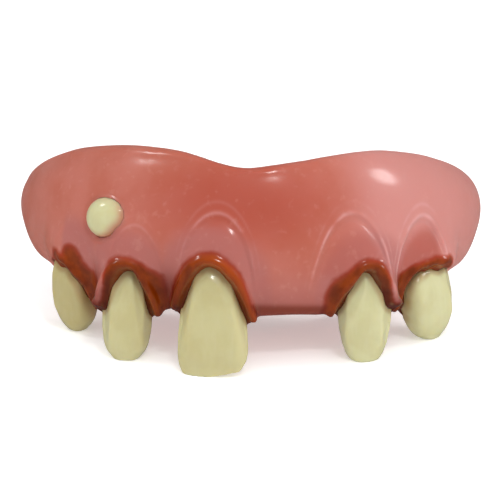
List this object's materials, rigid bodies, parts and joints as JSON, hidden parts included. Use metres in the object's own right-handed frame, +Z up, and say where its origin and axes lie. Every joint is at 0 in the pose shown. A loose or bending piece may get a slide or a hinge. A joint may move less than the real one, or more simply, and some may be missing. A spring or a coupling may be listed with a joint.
{
  "type": "novelty fake teeth",
  "caption": "Costume upper teeth: a glossy pink gum plate with a hollow bite tray behind it, crooked ivory crowns with a toothless gap, and a stray bud in the gum.",
  "frame": {"origin": "on the surface that the tooth tips stand on, under the middle of the part's box", "axes": "+X to the right as seen from the front, +Y from the front to the back of the mouth, +Z up"},
  "size_m": [0.0616, 0.0368, 0.0255],
  "materials": {
    "gum": "polished translucent pink acrylic, stained brown round the teeth",
    "tooth": "satin yellowed ivory acrylic"
  },
  "bodies": {
    "root": {"gum_plate": "gum", "tooth_far_left": "tooth", "tooth_left": "tooth", "tooth_centre": "tooth", "tooth_right": "tooth", "tooth_far_right": "tooth", "tooth_bud": "tooth"}
  },
  "joints": []
}
